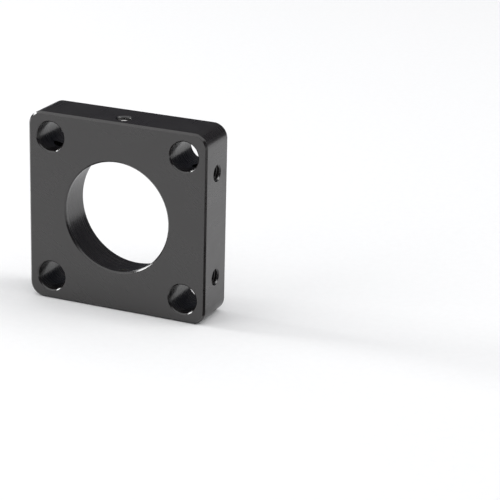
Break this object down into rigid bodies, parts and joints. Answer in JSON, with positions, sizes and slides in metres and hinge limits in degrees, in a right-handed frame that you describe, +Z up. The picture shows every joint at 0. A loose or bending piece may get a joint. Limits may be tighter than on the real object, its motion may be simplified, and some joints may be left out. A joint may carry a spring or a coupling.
{
  "type": "cage plate optic mount",
  "caption": "Square black anodised cage plate with a shouldered seat for a round 25.4 mm optic, corner rod holes and nylon-tipped set screws that pinch the optic.",
  "frame": {"origin": "middle of the bottom edge that the plate stands on", "axes": "+Z up, X along the plate's width, +Y from the shouldered front face to the back along the bore"},
  "size_m": [0.04, 0.01, 0.04],
  "materials": {
    "black_anodised": "satin black anodised",
    "screw_steel": "bright stainless",
    "nylon": "off-white nylon"
  },
  "bodies": {
    "plate": {"plate": "black_anodised"},
    "top_tip": {"top_nylon_tip": "nylon"},
    "top_screw": {"top_set_screw": "screw_steel"},
    "bottom_tip": {"bottom_nylon_tip": "nylon"},
    "bottom_screw": {"bottom_set_screw": "screw_steel"}
  },
  "joints": [
    {"name": "top_tip_slide", "type": "slide", "parent": "plate", "child": "top_tip", "axis": [0, 0, 1], "range_m": [-0.0015, 0.00038]},
    {"name": "top_screw_turn", "type": "hinge", "parent": "top_tip", "child": "top_screw", "pos_m": [0, -0.0015, 0.037], "axis": [0, 0, 1], "range_deg": [-1080, 270]},
    {"name": "bottom_tip_slide", "type": "slide", "parent": "plate", "child": "bottom_tip", "axis": [0, 0, -1], "range_m": [-0.0015, 0.00038]},
    {"name": "bottom_screw_turn", "type": "hinge", "parent": "bottom_tip", "child": "bottom_screw", "pos_m": [0, -0.0015, 0.003], "axis": [0, 0, -1], "range_deg": [-1080, 270]}
  ],
  "couplings": [
    {"joint": "top_screw_turn", "follows": "top_tip_slide", "rad_per_m": 12566},
    {"joint": "bottom_screw_turn", "follows": "bottom_tip_slide", "rad_per_m": 12566}
  ]
}
